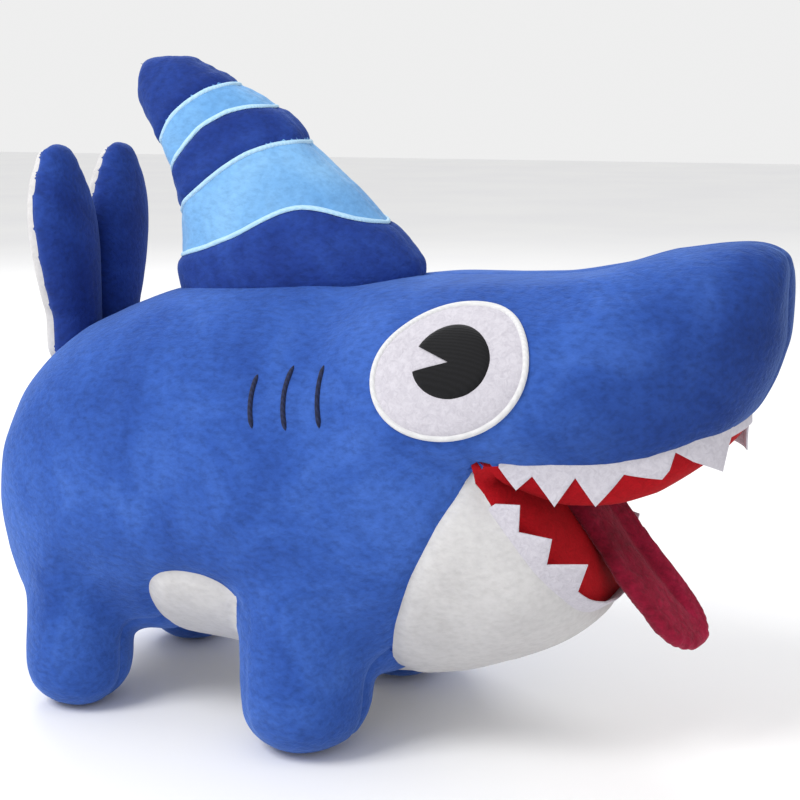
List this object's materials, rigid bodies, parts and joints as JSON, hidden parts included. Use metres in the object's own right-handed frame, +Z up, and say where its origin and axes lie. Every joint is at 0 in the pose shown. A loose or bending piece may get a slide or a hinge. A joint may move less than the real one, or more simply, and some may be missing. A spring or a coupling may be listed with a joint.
{
  "type": "plush shark",
  "caption": "Stuffed plush shark on four stubby legs, with a banded back fin, two upright tail lobes and an open mouth with felt teeth and a hanging tongue.",
  "frame": {"origin": "on the surface it stands on, under the middle of the bounding box", "axes": "+Z up, -Y is the way the shark faces, -X is the shark's right side"},
  "size_m": [0.1404, 0.31, 0.2595],
  "materials": {
    "blue_plush": "short pile with visible nap",
    "light_blue_plush": "short pile",
    "white_plush": "short pile",
    "fibre_filling": "loose polyester fibre",
    "red_felt": "matt felt",
    "white_felt": "matt felt",
    "black_embroidery": "satin stitch",
    "navy_embroidery": "satin stitch",
    "crimson_plush": "looped short pile"
  },
  "bodies": {
    "torso": {"side_panel_right": "blue_plush", "side_panel_left": "blue_plush", "inner_leg_front_right": "blue_plush", "inner_leg_front_left": "blue_plush", "inner_leg_rear_right": "blue_plush", "inner_leg_rear_left": "blue_plush", "belly_panel": "white_plush", "body_filling": "fibre_filling", "palate_lining": "red_felt", "mouth_floor_lining": "red_felt", "upper_teeth": "white_felt", "lower_teeth_right": "white_felt", "lower_teeth_left": "white_felt", "eye_felt_right": "white_felt", "eye_felt_left": "white_felt", "pupil_right": "black_embroidery", "pupil_left": "black_embroidery", "gill_stitches_right": "navy_embroidery", "gill_stitches_left": "navy_embroidery"},
    "fin": {"fin_band_1_right": "blue_plush", "fin_band_1_left": "blue_plush", "fin_band_3_right": "blue_plush", "fin_band_3_left": "blue_plush", "fin_band_5_right": "blue_plush", "fin_band_5_left": "blue_plush", "fin_band_2_right": "light_blue_plush", "fin_band_2_left": "light_blue_plush", "fin_band_4_right": "light_blue_plush", "fin_band_4_left": "light_blue_plush", "fin_filling": "fibre_filling"},
    "tail_lobe_right": {"tail_back_right": "white_plush", "tail_front_right": "blue_plush", "tail_filling_right": "fibre_filling"},
    "tail_lobe_left": {"tail_back_left": "white_plush", "tail_front_left": "blue_plush", "tail_filling_left": "fibre_filling"},
    "tongue": {"tongue_filling": "fibre_filling", "tongue_top": "crimson_plush", "tongue_bottom": "crimson_plush"}
  },
  "joints": [
    {"name": "fin_lean", "type": "hinge", "parent": "torso", "child": "fin", "pos_m": [0, 0.033, 0.1737], "axis": [0, 0.9967, -0.0815], "range_deg": [-20, 20], "stiffness_Nm_per_rad": 0.25},
    {"name": "tail_right_flex", "type": "hinge", "parent": "torso", "child": "tail_lobe_right", "pos_m": [-0.0155, 0.134, 0.15], "axis": [1, 0, 0], "range_deg": [-25, 25], "stiffness_Nm_per_rad": 0.06},
    {"name": "tail_left_flex", "type": "hinge", "parent": "torso", "child": "tail_lobe_left", "pos_m": [0.0155, 0.134, 0.15], "axis": [1, 0, 0], "range_deg": [-25, 25], "stiffness_Nm_per_rad": 0.06},
    {"name": "tongue_lift", "type": "hinge", "parent": "torso", "child": "tongue", "pos_m": [0.004, -0.0715, 0.111], "axis": [1, 0, 0], "range_deg": [-24, 0], "stiffness_Nm_per_rad": 0.08}
  ]
}
